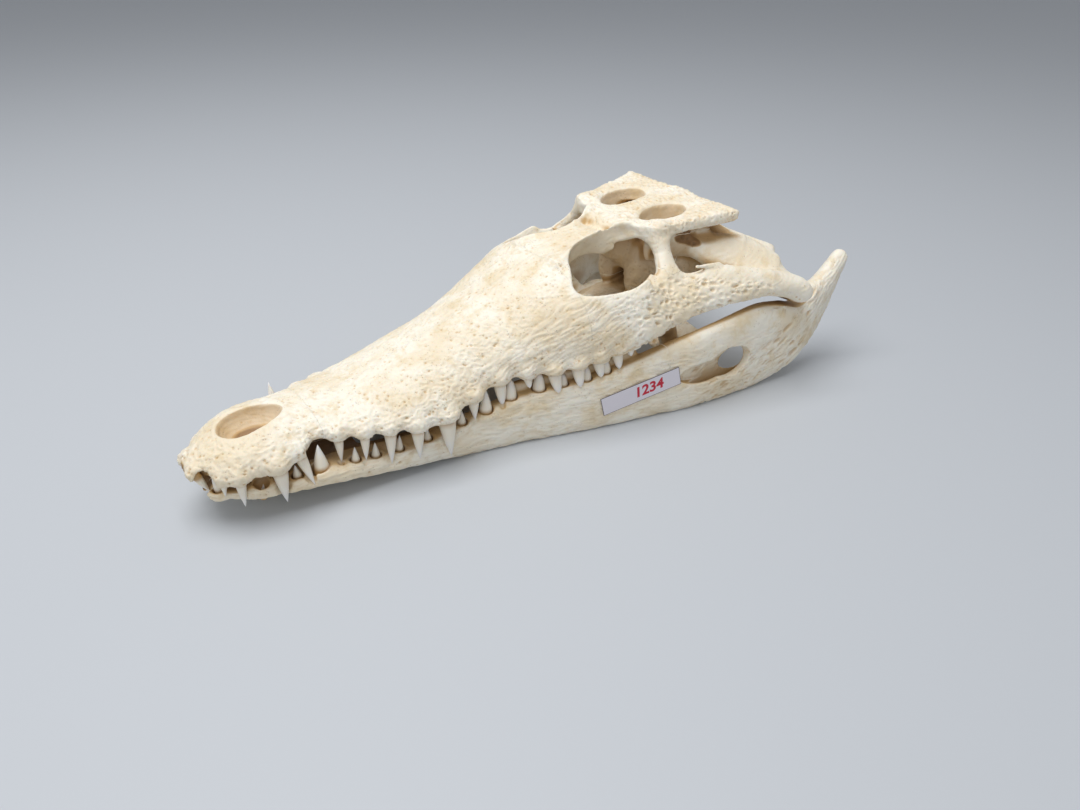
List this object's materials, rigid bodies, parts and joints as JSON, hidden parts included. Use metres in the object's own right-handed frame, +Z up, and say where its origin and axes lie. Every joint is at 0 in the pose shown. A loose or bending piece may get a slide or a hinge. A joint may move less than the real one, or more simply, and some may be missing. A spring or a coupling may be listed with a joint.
{
  "type": "crocodile skull",
  "caption": "Life-size cleaned crocodile skull lying on its lower jaw, jaws almost shut, with conical teeth and a small paper number label.",
  "frame": {"origin": "on the ground under the middle of the bounding box", "axes": "snout tip towards -X, the skull's left side towards -Y, +Z up"},
  "size_m": [0.307, 0.1326, 0.0804],
  "materials": {
    "bone": "matt cream-white cleaned bone with tan hollows",
    "teeth": "ivory, a little glossier than the bone",
    "label_paper": "smooth off-white strip",
    "label_ink": "printed red digits"
  },
  "bodies": {
    "root": {"premaxilla": "bone", "rostrum": "bone", "palate": "bone", "cheek_left": "bone", "cheek_right": "bone", "quadrate_left": "bone", "quadrate_right": "bone", "skull_roof": "bone", "dentary_left": "bone", "dentary_right": "bone", "jaw_back_left": "bone", "jaw_back_right": "bone", "label": "label_paper"}
  },
  "joints": []
}
